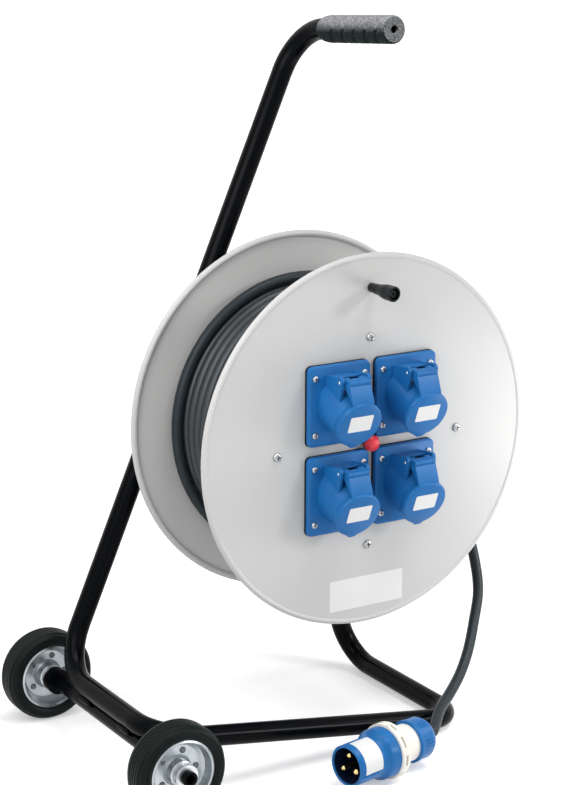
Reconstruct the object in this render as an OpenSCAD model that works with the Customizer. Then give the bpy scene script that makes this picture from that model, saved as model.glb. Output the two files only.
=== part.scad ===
// Extension cord reel: a drum with four shrouded sockets on a bent tube frame with two wheels.
// Row frame: +Z up, floor at z = 0, X across the drum's face, Y along the drum's axis.
// The front of the drum faces -Y, the wheels are at -X and the foot of the frame is at +X.
// The origin lies on the floor, midway between the wheels' outer edge and the drum's far edge.

/* [Drum] */
// Diameter of both drum flanges
flange_d = 400; // [370:2:420]
// Distance between the outer faces of the two flanges
drum_w = 155; // [145:1:165]
// Thickness of a flange
flange_t = 1.5; // [1:0.1:2.4]
// Diameter of the rolled bead along a flange's rim
bead_d = 7; // [5:0.5:9]
// Diameter of the drum core that the cord is wound on
core_d = 242; // [238:1:244]
// Wall of the drum core
core_wall = 3; // [2.5:0.1:4]
// Height of the drum's axis above the floor
drum_h = 330; // [310:2:350]
// Front face of the drum, along Y
drum_front = -76; // [-80:1:-72]
// Radius of the circle of flange screws
flange_screw_r = 112.5; // [111:0.5:113]
// Diameter of the hub that holds the bushes
hub_d = 38; // [36:1:44]
// Outer diameter of a hub bush
bush_d = 28; // [27:0.5:30]
// Length of a hub bush in its bore
bush_len = 18; // [14:1:24]
// Front end of the hub, behind the front face
hub_front = 70; // [66:1:76]
// Rear end of the hub, behind the front face
hub_rear = 132; // [128:1:134]
// Radial clearance of the hub bushes on the spindle
spindle_gap = 0.06; // [0.03:0.01:0.09]

/* [Frame] */
// Outer diameter of the frame's bent steel tube
tube_d = 22; // [20:1:24]
// Wall of the frame's tube
tube_wall = 1.5; // [1.2:0.1:2.5]
// Y of the plane that holds the long leg and the riser
leg_y = 104.3; // [103:0.5:108]
// Y of the front rail
rail_y = -114.5; // [-116:0.5:-112]
// Height of the top bend's corner
top_h = 741; // [700:5:780]
// Distance of the top bend's corner from the drum's axis, along X
top_dx = 23; // [10:1:40]
// Distance of the foot from the drum's axis, along X
foot_dx = 100; // [90:1:115]
// Bend radius at the top and at the two left corners, on the tube's centre line
bend_r = 52; // [46:1:56]
// Bend radius at the foot's two corners
foot_bend_r = 42; // [36:1:48]
// Bend radius between the riser and the spindle
spindle_bend_r = 38; // [36:1:40]
// Rise of the grip's end over the top bend's corner
grip_rise = 11; // [0:1:20]
// Front end of the spindle, behind the drum's front face
spindle_front = 56; // [52:1:60]

/* [Grip] */
// Length of the foam grip
grip_len = 130; // [110:2:140]
// Outer diameter of the grip
grip_d = 28.8; // [27:0.2:32]
// Distance of the grip's closed end from the top bend's corner
grip_reach = 174; // [165:1:190]
// Spacing of the grip's finger grooves
groove_pitch = 20; // [16:1:24]

/* [Wheels] */
// Diameter of a wheel
wheel_d = 100; // [96:1:108]
// Width of a tyre
tyre_w = 36; // [32:1:38]
// Radius of a tyre's rounded shoulder
shoulder_r = 10.7; // [8:0.1:12]
// Diameter of the tyre's seat on the rim
seat_d = 71; // [66:1:74]
// Play between the frame's widest corner and a wheel's inner washer
side_play = 0.78; // [0.5:0.02:2]
// Distance of the wheel axle from the drum's axis, along X
axle_dx = 273; // [265:1:285]
// Diameter of the wheel axle
axle_d = 16; // [14:1:18]
// Length of the axle's end outside a wheel's retaining ring
axle_end = 5.5; // [4:0.5:9]
// Bore of the axle's open ends
axle_bore = 10; // [8:0.5:11]
// Depth of the bore in each end of the axle
axle_bore_depth = 22; // [16:1:30]
// Radial clearance of a wheel's hub tube on the axle
axle_gap = 0.06; // [0.03:0.01:0.09]
// Rivets that join a wheel's two rim halves
rivets = 5; // [4:1:6]

/* [Sockets] */
// Width of a socket's plate
plate_w = 75; // [70:1:76]
// Height of a socket's plate
plate_h = 85; // [80:1:88]
// Thickness of a socket's plate
plate_t = 6.5; // [5.5:0.5:8]
// Thickness of the gasket under a plate
gasket_t = 1; // [0.6:0.1:1.5]
// Distance between the centres of two sockets side by side
pitch_x = 83; // [82:1:88]
// Distance between the centres of two sockets above each other
pitch_z = 96; // [94:1:102]
// Tilt of a socket's mouth below the horizontal
socket_tilt = 22; // [18:1:24]
// Outer diameter of a socket's barrel
barrel_d = 49; // [48:0.5:51]
// Bore of a socket's barrel, which takes the plug's shroud
barrel_bore = 45.4; // [45:0.1:46]
// Length of a barrel in front of its plate
barrel_len = 35.2; // [32:0.2:38]
// Diameter of the contact insert
insert_d = 35; // [34:0.2:36]
// Depth of the insert's face behind the mouth
insert_recess = 8; // [7.5:0.5:10]
// Radius of the circle of contacts
contact_r = 10.5; // [9.5:0.5:11.5]
// Diameter of the live and neutral pins
pin_d = 5; // [4.8:0.1:5.2]
// Diameter of the earth pin
earth_d = 6; // [5.8:0.1:6.2]
// Diameter of a lid
lid_d = 52; // [50.5:0.5:53]
// Thickness of a lid
lid_t = 5.5; // [5:0.5:7]
// Width of a lid's flap
flap_w = 26; // [24:0.5:27]
// Diameter of a lid's hinge pin
hinge_d = 3; // [2.5:0.1:3.5]

/* [Crank knob and button] */
// Radius on which the crank knob sits
knob_r = 164.4; // [155:0.2:170]
// Length of the crank knob
knob_len = 42; // [36:1:48]
// Diameter of the knob's outer end
knob_d = 16; // [15:0.5:20]
// Diameter of the knob's bolt
knob_bolt_d = 6; // [5:0.5:7]
// Diameter of the reset button's cap
button_d = 17.6; // [15:0.1:17.8]
// Travel of the reset button
button_travel = 2.5; // [1:0.1:3]

/* [Cord and plug] */
// Diameter of the cord
cord_d = 12; // [10:0.5:12.5]
// Turns of the outer layer of the winding
turns = 11; // [8:1:11]
// Outer diameter of the plug's shroud
shroud_d = 44; // [43:0.2:44.6]
// Inner diameter of the plug's shroud
shroud_bore = 38; // [37.6:0.2:39]
// Diameter of the ring on the plug's housing
ring_d = 59; // [56:1:60]
// Diameter of the gland nut
nut_d = 46; // [42:1:50]
// Length of a contact pin in front of the carrier
pin_len = 33; // [28:1:35]

/* [Hidden] */
eps = 0.01;
fit_gap = 0.3;                               // gap between pieces that move past each other
drum_x = (axle_dx + wheel_d / 2 - flange_d / 2) / 2;
tube_r = tube_d / 2;
axle_x = drum_x - axle_dx;
axle_z = wheel_d / 2;
bend_swell = 0.12;                           // the tube swells a little where it is bent
run_z = axle_z + axle_d / 2 + tube_r + bend_swell + 0.03;   // the run between the left corners lies on the axle
foot_x = drum_x + foot_dx;
core_inner = core_d / 2 - core_wall;
inside_front = flange_t;                     // inner faces of the flanges, in the drum's own frame
inside_rear = drum_w - flange_t;
steel = "#b9bec4";
black = "#15181c";
blue = "#2a69bd";

// Vector helpers
function unit(v) = v / norm(v);
function arc2d(cx, cy, r, a0, a1, n) =
    [for (i = [0:n]) let (a = a0 + (a1 - a0) * i / n) [cx + r * cos(a), cy + r * sin(a)]];

// Places children with the local axes ex, ey, ez at the point p
module placed(p, ex, ey, ez)
    multmatrix([[ex.x, ey.x, ez.x, p.x], [ex.y, ey.y, ez.y, p.y], [ex.z, ey.z, ez.z, p.z], [0, 0, 0, 1]])
        children();

// Local +Z turned to +Y, for revolved pieces along the drum's axis
module along_y() rotate([-90, 0, 0]) children();
module revolve(points, sides = 96) along_y() rotate_extrude($fn = sides) polygon(points);
module rod_y(r, y0, y1, sides = 48) translate([0, y0, 0]) along_y() cylinder(r = r, h = y1 - y0, $fn = sides);
module ring_y(ri, ro, y0, y1) revolve([[ri, y0], [ro, y0], [ro, y1], [ri, y1]], 64);
module rod_x(r, x0, x1, sides = 32) translate([x0, 0, 0]) rotate([0, 90, 0]) cylinder(r = r, h = x1 - x0, $fn = sides);

// The drum's own frame: origin on its axis at the front flange's outer face
module at_drum() translate([drum_x, drum_front, drum_h]) children();

// ---------------------------------------------------------------- frame
// Corners of the one bent tube, from the grip to the spindle
grip_dir = unit([4.8, -(leg_y - drum_front - 6.8), grip_rise]);
top_corner = [drum_x + top_dx, leg_y, top_h];
tube_corners = [
    top_corner + grip_dir * (grip_reach - 3),
    top_corner,
    [axle_x, leg_y, run_z],
    [axle_x, rail_y, run_z],
    [foot_x, rail_y, tube_r + bend_swell],
    [foot_x, leg_y, tube_r + bend_swell],
    [drum_x, leg_y, drum_h],
    [drum_x, drum_front + spindle_front, drum_h]
];
tube_bends = [bend_r, bend_r, bend_r, foot_bend_r, foot_bend_r, spindle_bend_r];
bend_lap = 1;                                 // each straight runs this far into its bends

// Tangent length of the bend at corner i (1 .. 6)
function corner_angle(i) =
    let (u = unit(tube_corners[i - 1] - tube_corners[i]), v = unit(tube_corners[i + 1] - tube_corners[i]))
    acos(u * v);
function tangent(i) =
    (i == 0 || i == len(tube_corners) - 1) ? 0 : tube_bends[i - 1] / tan(corner_angle(i) / 2);

// One straight of the tube from corner i to corner i + 1
module tube_straight(i, r, extra) {
    dir = unit(tube_corners[i + 1] - tube_corners[i]);
    before = i == 0 ? extra : bend_lap;
    after = i == len(tube_corners) - 2 ? extra : bend_lap;
    start = tube_corners[i] + dir * (tangent(i) - before);
    length = norm(tube_corners[i + 1] - tube_corners[i]) - tangent(i) - tangent(i + 1);
    side = unit(cross(dir, abs(dir.y) > 0.9 ? [1, 0, 0] : [0, 1, 0]));
    placed(start, side, cross(dir, side), dir) cylinder(r = r, h = before + length + after, $fn = 32);
}

// One bend of the tube at corner i
module tube_bend(i, r) {
    u = unit(tube_corners[i - 1] - tube_corners[i]);
    v = unit(tube_corners[i + 1] - tube_corners[i]);
    start = tube_corners[i] + u * tangent(i);
    end = tube_corners[i] + v * tangent(i);
    centre = tube_corners[i] + unit(u + v) * tube_bends[i - 1] / sin(corner_angle(i) / 2);
    ex = unit(start - centre);
    ez = unit(cross(start - centre, end - centre));
    placed(centre, ex, cross(ez, ex), ez)
        rotate_extrude(angle = 180 - corner_angle(i), $fn = 48)
            translate([tube_bends[i - 1], 0]) circle(r = r + bend_swell, $fn = 32);
}

module tube_solid(r, extra) {
    for (i = [0 : len(tube_corners) - 2]) tube_straight(i, r, extra);
    for (i = [1 : len(tube_corners) - 2]) tube_bend(i, r);
}

module frame_tube() color(black) difference() {
    tube_solid(tube_r, 0);
    tube_solid(tube_r - tube_wall, 1);
}

// Foam grip pushed over the tube's end, with finger grooves and a small vent in its closed end
module hand_grip() {
    r = grip_d / 2;
    open_r = tube_r + 0.6;
    vent_r = 3;
    grooves = floor((grip_len - 40) / groove_pitch);
    side = unit(cross(grip_dir, [0, 0, 1]));
    groove_at = function (k) grip_len - 24 - k * groove_pitch;
    outline = concat(
        [[open_r, 0], [open_r + 0.6, 0], [open_r + 1.4, 5], [r, 16]],
        [for (k = [grooves : -1 : 0]) each [[r, groove_at(k) - 1.6], [r - 1, groove_at(k)], [r, groove_at(k) + 1.6]]],
        [[r, grip_len - 3], [r - 4, grip_len], [vent_r, grip_len], [vent_r, grip_len - 3], [tube_r, grip_len - 3],
            [tube_r, 8]]
    );
    color("#4a4d50")
        placed(top_corner + grip_dir * (grip_reach - grip_len), side, cross(grip_dir, side), grip_dir)
            rotate_extrude($fn = 64) polygon(outline);
}

// Wheels stand between an inner collar or washer and a retaining ring
hub_half = 20;                                // half the length of a wheel's hub tube
washer_t = 1.5;
ring_t = 1.5;
collar_y = leg_y + tube_r + 0.4;              // the collar lies beside the leg's corner
wheel_y = max(leg_y, -rail_y) + tube_r + bend_swell + side_play + washer_t + fit_gap + hub_half;
axle_half = wheel_y + hub_half + fit_gap + washer_t + ring_t + axle_end;

// Solid rod with bored ends, welded under the run between the left corners
module wheel_axle() color(black) translate([axle_x, 0, axle_z]) difference() {
    rod_y(axle_d / 2, -axle_half, axle_half);
    rod_y(axle_bore / 2, -axle_half - 1, -axle_half + axle_bore_depth, 32);
    rod_y(axle_bore / 2, axle_half - axle_bore_depth, axle_half + 1, 32);
}

// Four fillet welds in the valleys between the axle and the run
module axle_welds() {
    weld_len = 26;
    valley = 5.2;
    run_mid = (leg_y + rail_y) / 2;
    spread = (leg_y - rail_y) / 2 - bend_r - weld_len / 2;
    color(black)
        for (y = [run_mid - spread, run_mid + spread], side = [-1, 1])
            translate([axle_x, y, axle_z]) difference() {
                translate([side * (valley + 2), 0, axle_d / 2]) rod_y(3.2, -weld_len / 2, weld_len / 2, 24);
                rod_y(axle_d / 2, -weld_len, weld_len);
                translate([0, 0, run_z - axle_z]) rod_y(tube_r, -weld_len, weld_len);
            }
}

// Welded collar that keeps the rear wheel off the leg's corner
module axle_collar() color(black) translate([axle_x, 0, axle_z])
    ring_y(axle_d / 2, 14, collar_y, wheel_y - hub_half - fit_gap);

module axle_washers() color(steel) translate([axle_x, 0, axle_z]) {
    ring_y(axle_d / 2, 12.5, -wheel_y + hub_half + fit_gap, -wheel_y + hub_half + fit_gap + washer_t);
    ring_y(axle_d / 2, 12.5, -wheel_y - hub_half - fit_gap - washer_t, -wheel_y - hub_half - fit_gap);
    ring_y(axle_d / 2, 12.5, wheel_y + hub_half + fit_gap, wheel_y + hub_half + fit_gap + washer_t);
}

// Spring rings with a gap at the bottom, one outside each outer washer
module axle_rings() color(steel) translate([axle_x, 0, axle_z])
    for (y = [-wheel_y - hub_half - fit_gap - washer_t - ring_t, wheel_y + hub_half + fit_gap + washer_t])
        difference() {
            ring_y(axle_d / 2, 11.5, y, y + ring_t);
            translate([-3, y - 1, -14]) cube([6, ring_t + 2, 12]);
        }

module spindle_stop_ring() color(black) at_drum()
    ring_y(tube_r, tube_r + 6, hub_rear + 2 + 2 * fit_gap, hub_rear + 2 + 2 * fit_gap + 5);
module spindle_washer() color(steel) at_drum()
    ring_y(tube_r, tube_r + 7, hub_front - 2 - 2 * fit_gap - 2, hub_front - 2 - 2 * fit_gap);
module spindle_ring() color(steel) at_drum() difference() {
    ring_y(tube_r, tube_r + 3.5, hub_front - 4 - 2 * fit_gap - ring_t, hub_front - 4 - 2 * fit_gap);
    translate([-4, hub_front - 10, -tube_r - 6]) cube([8, 12, 12]);
}

// ---------------------------------------------------------------- cord
// A tube swept along points, with flat sides turned to the drum's axis
function ring_points(p, t, r, sides) =
    let (n = unit(cross(t, [0, 1, 0])), b = cross(t, n))
    [for (k = [0 : sides - 1]) let (a = 360 * (k + 0.5) / sides) p + r * (cos(a) * n + sin(a) * b)];
function tangents(pts) =
    [for (i = [0 : len(pts) - 1]) unit(pts[min(i + 1, len(pts) - 1)] - pts[max(i - 1, 0)])];
module swept(pts, r, sides) {
    ts = tangents(pts);
    n = len(pts);
    points = [for (i = [0 : n - 1]) each ring_points(pts[i], ts[i], r, sides)];
    walls = [for (i = [0 : n - 2], k = [0 : sides - 1])
        let (a = i * sides + k, b = i * sides + (k + 1) % sides)
        each [[a, b, a + sides], [b, b + sides, a + sides]]];
    caps = [for (k = [1 : sides - 2]) each [[0, k + 1, k], [(n - 1) * sides, (n - 1) * sides + k, (n - 1) * sides + k + 1]]];
    polyhedron(points = points, faces = concat(walls, caps), convexity = 8);
}
// Smooth curve through hand-chosen points
function spline_point(a, b, c, d, t) =
    0.5 * (2 * b + (c - a) * t + (2 * a - 5 * b + 4 * c - d) * t * t + (3 * b - a - 3 * c + d) * t * t * t);
function spline(p, steps) = concat(
    [for (i = [1 : len(p) - 3], s = [0 : steps - 1]) spline_point(p[i - 1], p[i], p[i + 1], p[i + 2], s / steps)],
    [p[len(p) - 2]]);

// The outer layer: one helix from flange to flange, with straight ends
wind_r = 140;                                 // radius of the winding's centre line
wind_rings = 24;
flat_r = cord_d / 2 * cos(30);                // half the width of the hexagonal cord across its flats
wind_gap = 0.4;                               // gap between the end turns and the flanges
wind_y0 = inside_front + cord_d / 2 + wind_gap;
wind_pitch = (inside_rear - inside_front - cord_d - 2 * wind_gap) / turns;
wind_loop = [for (i = [0 : turns * wind_rings])
    let (a = -90 - 360 * i / wind_rings)
    [wind_r * cos(a), wind_y0 + wind_pitch * i / wind_rings, wind_r * sin(a)]];
wind_last = len(wind_loop) - 1;
wind_path = concat(
    [wind_loop[0] - unit(wind_loop[1] - wind_loop[0]) * cord_d],
    wind_loop,
    [wind_loop[wind_last] + unit(wind_loop[wind_last] - wind_loop[wind_last - 1]) * cord_d]);
wind_self_gap = min([for (i = [0 : wind_last - wind_rings + 2], j = [i + wind_rings - 2 : min(i + wind_rings + 2, wind_last)])
    norm(wind_loop[i] - wind_loop[j])]) - cord_d;
echo(winding_gap_to_itself = wind_self_gap);

module cord_winding() color("#31373c") at_drum() swept(wind_path, cord_d / 2, 6);

// The layers below it, as one plain sleeve on the core
inner_layer_r = (wind_r - flat_r) * cos(180 / wind_rings) - fit_gap;
module cord_inner_layers() color("#2b3035") at_drum()
    ring_y(core_d / 2, inner_layer_r, inside_front, inside_rear);

// The cord's last turn lies on the winding beside the rear flange and runs off it to the plug
lead_r = 151.7;                               // radius of the raised turn's centre line
lead_y = 139.5;                               // its place behind the drum's front face
lead_drop = 35.5;                             // way that it moves forward before it leaves the drum
lead_start = -96;                             // the raised turn begins here, as an angle at the axis
lead_top = -270;                              // from here on it moves forward
lead_leave = -353;                            // and here it leaves the drum
lead_steps = 25;
lead_turn = [for (i = [0 : lead_steps])
    let (a = lead_start + (lead_leave - lead_start) * i / lead_steps, s = max(0, (lead_top - a) / (lead_top - lead_leave)))
    [drum_x + lead_r * cos(a), drum_front + lead_y - lead_drop * s * s, drum_h + lead_r * sin(a)]];
// Route of the hanging stretch, in the row frame, from the drum to the plug's gland
lead_route = [
    [218, 19, 312], [226, 3, 258], [234, -14, 205], [239, -29, 160], [233, -47, 126], [214, -66, 98],
    [192, -86, 74], [168, -104, 56.5], [142, -121, 45], [118, -137, 38]
];
plug_nose = [-38.4, -192, ring_d / 2];                // centre of the plug's nose
plug_turn = 11.7;                             // heading of the plug's axis in the floor plane
plug_roll = -65;                              // its key faces forward and down
plug_dir = [cos(plug_turn), sin(plug_turn), 0];
gland_end = 117;                              // the cord leaves the gland seal here
lead_end = plug_nose + plug_dir * gland_end;
lead_path = concat(
    lead_turn,
    spline(concat([lead_turn[lead_steps - 1], lead_turn[lead_steps]], lead_route, [lead_end + plug_dir * cord_d, lead_end]), 2),
    [lead_end]);
lead_unique = [for (i = [0 : len(lead_path) - 1]) if (i == 0 || norm(lead_path[i] - lead_path[i - 1]) > 1) lead_path[i]];
echo(lead_rings = len(lead_unique));
echo(lead_length = len_along(lead_unique));
echo(winding_length = 2 * PI * wind_r * turns);
function len_along(p, i = 1) = i >= len(p) ? 0 : norm(p[i] - p[i - 1]) + len_along(p, i + 1);
module cord_lead() color("#31373c") swept(lead_unique, cord_d / 2, 8);

// ---------------------------------------------------------------- plug
// Local +Z runs from the nose to the gland, local +X points at the key and the earth pin
module at_plug() translate(plug_nose) rotate([0, 0, plug_turn]) rotate([0, 90, 0]) rotate([0, 0, plug_roll]) children();
shroud_depth = 38;                            // depth of the shroud's hollow
shoulder_end = 56;
waist_d = 40;
nut_start = 90;
nut_end = 114;

// Blue nose: shroud, key and shoulder in one moulding
module plug_shroud() {
    r = shroud_d / 2;
    color(blue) at_plug() difference() {
        union() {
            rotate_extrude($fn = 72) polygon([
                [0, shroud_depth - 2], [shroud_bore / 2, shroud_depth - 2], [shroud_bore / 2, 0], [r - 0.8, 0], [r, 0.8],
                [r, 30], [r + 1.2, 33], [ring_d / 2 - 3.5, 46], [ring_d / 2 - 2.5, 49], [ring_d / 2 - 2.5, shoulder_end - 2],
                [0, shoulder_end - 2]]);
            translate([r - 1.5, -2.3, 0]) cube([2.6, 4.6, 24]);
        }
        translate([0, 0, shroud_depth - 2 - eps]) cylinder(r = shroud_bore / 2 - 3, h = 30, $fn = 48);
    }
}

function pin_place(k) = [contact_r * cos(120 * k), contact_r * sin(120 * k), 0];
function pin_r(k) = (k == 0 ? earth_d : pin_d) / 2;
carrier_face = shroud_depth - 2;
shank_less = 0.6;                             // a pin's shank in the carrier is this much thinner, by radius
pin_neck = 0.6;                               // and starts this far in front of the carrier's face

module plug_pin_carrier() color("#1c3f7a") at_plug() difference() {
    translate([0, 0, carrier_face]) cylinder(r = shroud_bore / 2 - 3, h = 30, $fn = 48);
    for (k = [0 : 2]) translate(pin_place(k)) cylinder(r = pin_r(k) - shank_less, h = 90, $fn = 32);
}

module plug_pins() color("#c9a45c") at_plug()
    for (k = [0 : 2]) {
        r = pin_r(k);
        reach = carrier_face - pin_len;
        translate(pin_place(k)) rotate_extrude($fn = 32)
            polygon([[0, reach], [r - 1.2, reach], [r, reach + 1.2], [r, carrier_face - pin_neck],
                [r - shank_less, carrier_face - pin_neck], [r - shank_less, shroud_depth + 34], [0, shroud_depth + 34]]);
    }

// Pale rear housing with a slotted ring, slipped over the carrier
module plug_housing() {
    ring_r = ring_d / 2;
    waist_r = waist_d / 2;
    y0 = shoulder_end - 2;
    slots = 9;
    color("#e9e6dd") at_plug() difference() {
        rotate_extrude($fn = 72) polygon([
            [shroud_bore / 2 - 3, y0], [ring_r - 1, y0], [ring_r, y0 + 1], [ring_r, y0 + 10], [ring_r - 3, y0 + 13],
            [waist_r + 1, y0 + 14.5], [waist_r, y0 + 17], [waist_r, nut_start - 1], [15, nut_start - 1], [15, nut_end - 6],
            [6.6, nut_end - 6], [6.6, nut_start - 8], [shroud_bore / 2 - 3, nut_start - 16]]);
        for (k = [0 : slots - 1]) rotate([0, 0, 20 + 360 * k / slots])
            translate([ring_r - 3, -5, y0 + 4]) cube([6, 10, 2.6]);
    }
}

// Blue gland nut with grip ribs, screwed on the housing's neck
module plug_gland_nut() {
    r = nut_d / 2;
    ribs = 12;
    color(blue) at_plug() {
        difference() {
            rotate_extrude($fn = 72) polygon([
                [15, nut_start - 1], [r - 1, nut_start - 1], [r, nut_start], [r, nut_start + 4], [r - 0.8, nut_start + 5],
                [r - 0.8, nut_end - 6], [r - 4, nut_end], [7.4, nut_end], [7.4, nut_end - 6], [15, nut_end - 6]]);
            for (k = [0 : ribs - 1]) rotate([0, 0, 360 * k / ribs])
                translate([r - 1.8, -1, nut_start + 6]) cube([3, 2, 30]);
        }
    }
}

module plug_gland_seal() color("#202326") at_plug() rotate_extrude($fn = 48)
    polygon([[0, nut_end - 5.9], [7.3, nut_end - 5.9], [7.3, nut_end], [cord_d / 2 + 1, gland_end], [0, gland_end]]);

// ---------------------------------------------------------------- drum
socket_places = [[-1, 1], [1, 1], [-1, -1], [1, -1]];
module at_socket(k) at_drum()
    translate([socket_places[k][0] * pitch_x / 2, 0, socket_places[k][1] * pitch_z / 2]) children();
module each_socket() for (k = [0 : 3]) at_socket(k) children();

screw_dx = plate_w / 2 - 7.5;                 // plate screws, from the plate's centre
screw_dz = plate_h / 2 - 12.5;
plate_hole_d = 4;
rear_cup_d = 52;                              // the socket's cup behind the panel
rear_cup_z = 5;
rear_cup_len = 22;
flange_hole_d = 4.4;

module at_flange_screws() for (k = [0 : 3]) rotate([0, 90 * k, 0]) translate([0, 0, flange_screw_r]) children();

// A flat disc with a rolled bead that stands proud of the outer face; dir = 1 front, -1 rear
bead_proud = 1;
module flange_disc(y, dir) {
    r = flange_d / 2;
    b = bead_d / 2;
    rise = b - bead_proud;
    bead = arc2d(r - b, rise, b, 180 + asin(rise / b), 540 - asin((flange_t - rise) / b), 20);
    revolve([for (q = concat([[0, 0]], bead, [[0, flange_t]])) [q[0], y + dir * q[1]]], 120);
}

module front_flange() color("#e2e2df") difference() {
    at_drum() flange_disc(0, 1);
    at_drum() at_flange_screws() rod_y(flange_hole_d / 2, -1, flange_t + 1, 24);
    each_socket() translate([0, 0, rear_cup_z]) rod_y(rear_cup_d / 2 + 0.5, -1, flange_t + 1, 64);
    each_socket() for (x = [-1, 1], z = [-1, 1])
        translate([x * screw_dx, 0, z * screw_dz]) rod_y(plate_hole_d / 2, -1, flange_t + 1, 24);
    at_drum() rod_y(neck_r, -1, flange_t + 1, 32);
    at_drum() translate([0, 0, knob_r]) rod_y(knob_bolt_d / 2, -1, flange_t + 1, 32);
}

module rear_flange() color("#e2e2df") difference() {
    at_drum() flange_disc(drum_w, -1);
    at_drum() at_flange_screws() rod_y(flange_hole_d / 2, drum_w - flange_t - 1, drum_w + 1, 24);
    at_drum() rod_y(32, drum_w - flange_t - 1, drum_w + 2, 64);
}

// Moulded spool core: outer wall, web, hub, ribs and screw columns in one piece
web_y = 88;
web_t = 4;
column_r = 5;
grommet_y = 14;
grommet_r = 8;
module drum_core() {
    pilot_r = 2.2;
    rib_t = 3;
    color("#3a3d40") at_drum() difference() {
        union() {
            ring_y(core_inner, core_d / 2, inside_front, inside_rear);
            ring_y(bush_d / 2, core_inner + 1, web_y, web_y + web_t);
            ring_y(bush_d / 2, hub_d / 2, hub_front, hub_rear);
            for (k = [0 : 7]) rotate([0, 45 * k + 22.5, 0])
                translate([-rib_t / 2, web_y + web_t - 1, hub_d / 2 - 1])
                    cube([rib_t, hub_rear - web_y - web_t - 6, core_inner - hub_d / 2 + 2]);
            at_flange_screws() rod_y(column_r, inside_front, inside_rear, 32);
        }
        at_flange_screws() rod_y(pilot_r, inside_front - 1, inside_front + 22, 24);
        at_flange_screws() rod_y(pilot_r, inside_rear - 22, inside_rear + 1, 24);
        rotate([0, 225, 0]) translate([0, grommet_y, core_inner - 6]) cylinder(r = grommet_r, h = 20, $fn = 40);
    }
}

// Plain bushes pressed into the hub from both ends, each with a thrust collar
module hub_bushes() color("#d8d2c0") at_drum() {
    bore = tube_r + spindle_gap;
    collar = bush_d / 2 + 3;
    revolve([[bore, hub_front - 2], [collar, hub_front - 2], [collar, hub_front], [bush_d / 2, hub_front],
        [bush_d / 2, hub_front + bush_len], [bore, hub_front + bush_len]], 64);
    revolve([[bore, hub_rear + 2], [bore, hub_rear - bush_len], [bush_d / 2, hub_rear - bush_len],
        [bush_d / 2, hub_rear], [collar, hub_rear], [collar, hub_rear + 2]], 64);
}

// Pan-head screw along +Y with its head seated on y = 0
module screw(shank_r, head_r, head_h, length) difference() {
    revolve([[0, length], [shank_r, length], [shank_r, 0], [head_r, 0], [head_r, -head_h * 0.4],
        [head_r * 0.7, -head_h], [0, -head_h]], 32);
    rod_y(head_r * 0.42, -head_h - 1, -head_h * 0.4, 6);
}

module flange_screws() color(steel) at_drum() {
    at_flange_screws() screw(2.1, 4.6, 2.8, 20);
    at_flange_screws() translate([0, drum_w, 0]) mirror([0, 1, 0]) screw(2.1, 4.6, 2.8, 20);
}

// Rubber grommet where the cord enters the core
module cord_grommet() color("#202326") at_drum() rotate([0, 225, 0]) translate([0, grommet_y, 0])
    rotate_extrude($fn = 40) polygon([[4.5, core_inner - 5], [grommet_r + 2, core_inner - 5],
        [grommet_r + 2, core_inner - 2.6], [grommet_r, core_inner - 2.2], [grommet_r, core_d / 2 - 1.4], [4.5, core_d / 2 - 1.4]]);

// Terminal block on the web, behind the sockets
module terminal_block() color("#e4dfd0") at_drum() difference() {
    translate([-24, web_y - 18, -62]) cube([48, 18, 22]);
    for (k = [0 : 2]) translate([-16 + 16 * k, 0, -51]) {
        rod_y(3.2, web_y - 20, web_y - 10, 24);
        translate([0, web_y - 6, -20]) cylinder(r = 2.2, h = 40, $fn = 24);
    }
}
module terminal_screws() color(steel) at_drum()
    for (k = [0 : 2]) translate([-16 + 16 * k, web_y - 13, -51]) screw(1.8, 3, 2, 3);

// ---------------------------------------------------------------- sockets
face_y = gasket_t + plate_t;                  // front of a plate, measured out from the flange
neck_r = 5.5;
module tilted() translate([0, -face_y, 1]) rotate([90 + socket_tilt, 0, 0]) children();

// Plate outline with round corners
module plate_outline(inset) {
    r = 6 - inset;
    hull() for (x = [-1, 1], z = [-1, 1])
        translate([x * (plate_w / 2 - 6), z * (plate_h / 2 - 6)]) circle(r = r, $fn = 32);
}
module plate_slab(y0, y1, inset) translate([0, y1, 0]) rotate([90, 0, 0]) linear_extrude(y1 - y0) plate_outline(inset);

hinge_y = -(face_y + 25.5);                   // the hinge pin's axis, in a socket's own frame
hinge_z = 30;
hinge_t = (-hinge_y - face_y) * cos(socket_tilt) - (hinge_z - 1) * sin(socket_tilt);
hinge_u = (-hinge_y - face_y) * sin(socket_tilt) + (hinge_z - 1) * cos(socket_tilt);
cheek_in = flap_w / 2 + 1;
cheek_out = cheek_in + 4;
cup_bottom = 15;                              // depth of the bore's bottom behind the plate's face

module socket_body(k) color(blue) at_socket(k) difference() {
    union() {
        plate_slab(-face_y + 1.5, -gasket_t, 0);
        plate_slab(-face_y, -face_y + 1.5, 1.2);
        intersection() {
            tilted() translate([0, 0, -24]) cylinder(r = barrel_d / 2, h = barrel_len + 24, $fn = 72);
            translate([-40, -80, -60]) cube([80, 80 - gasket_t, 120]);
        }
        translate([0, 0, rear_cup_z]) rod_y(rear_cup_d / 2, -gasket_t - 1, rear_cup_len, 72);
        for (side = [-1, 1]) cheek(side);
    }
    tilted() translate([0, 0, -cup_bottom]) cylinder(r = barrel_bore / 2, h = 80, $fn = 72);
    tilted() translate([-2.6, -barrel_bore / 2 - 1.2, barrel_len - 26]) cube([5.2, 4, 40]);
    for (x = [-1, 1], z = [-1, 1]) translate([x * screw_dx, 0, z * screw_dz]) rod_y(plate_hole_d / 2, -20, 5, 24);
    translate([0, hinge_y, hinge_z]) rod_x(hinge_d / 2, -30, 30);
}

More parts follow.
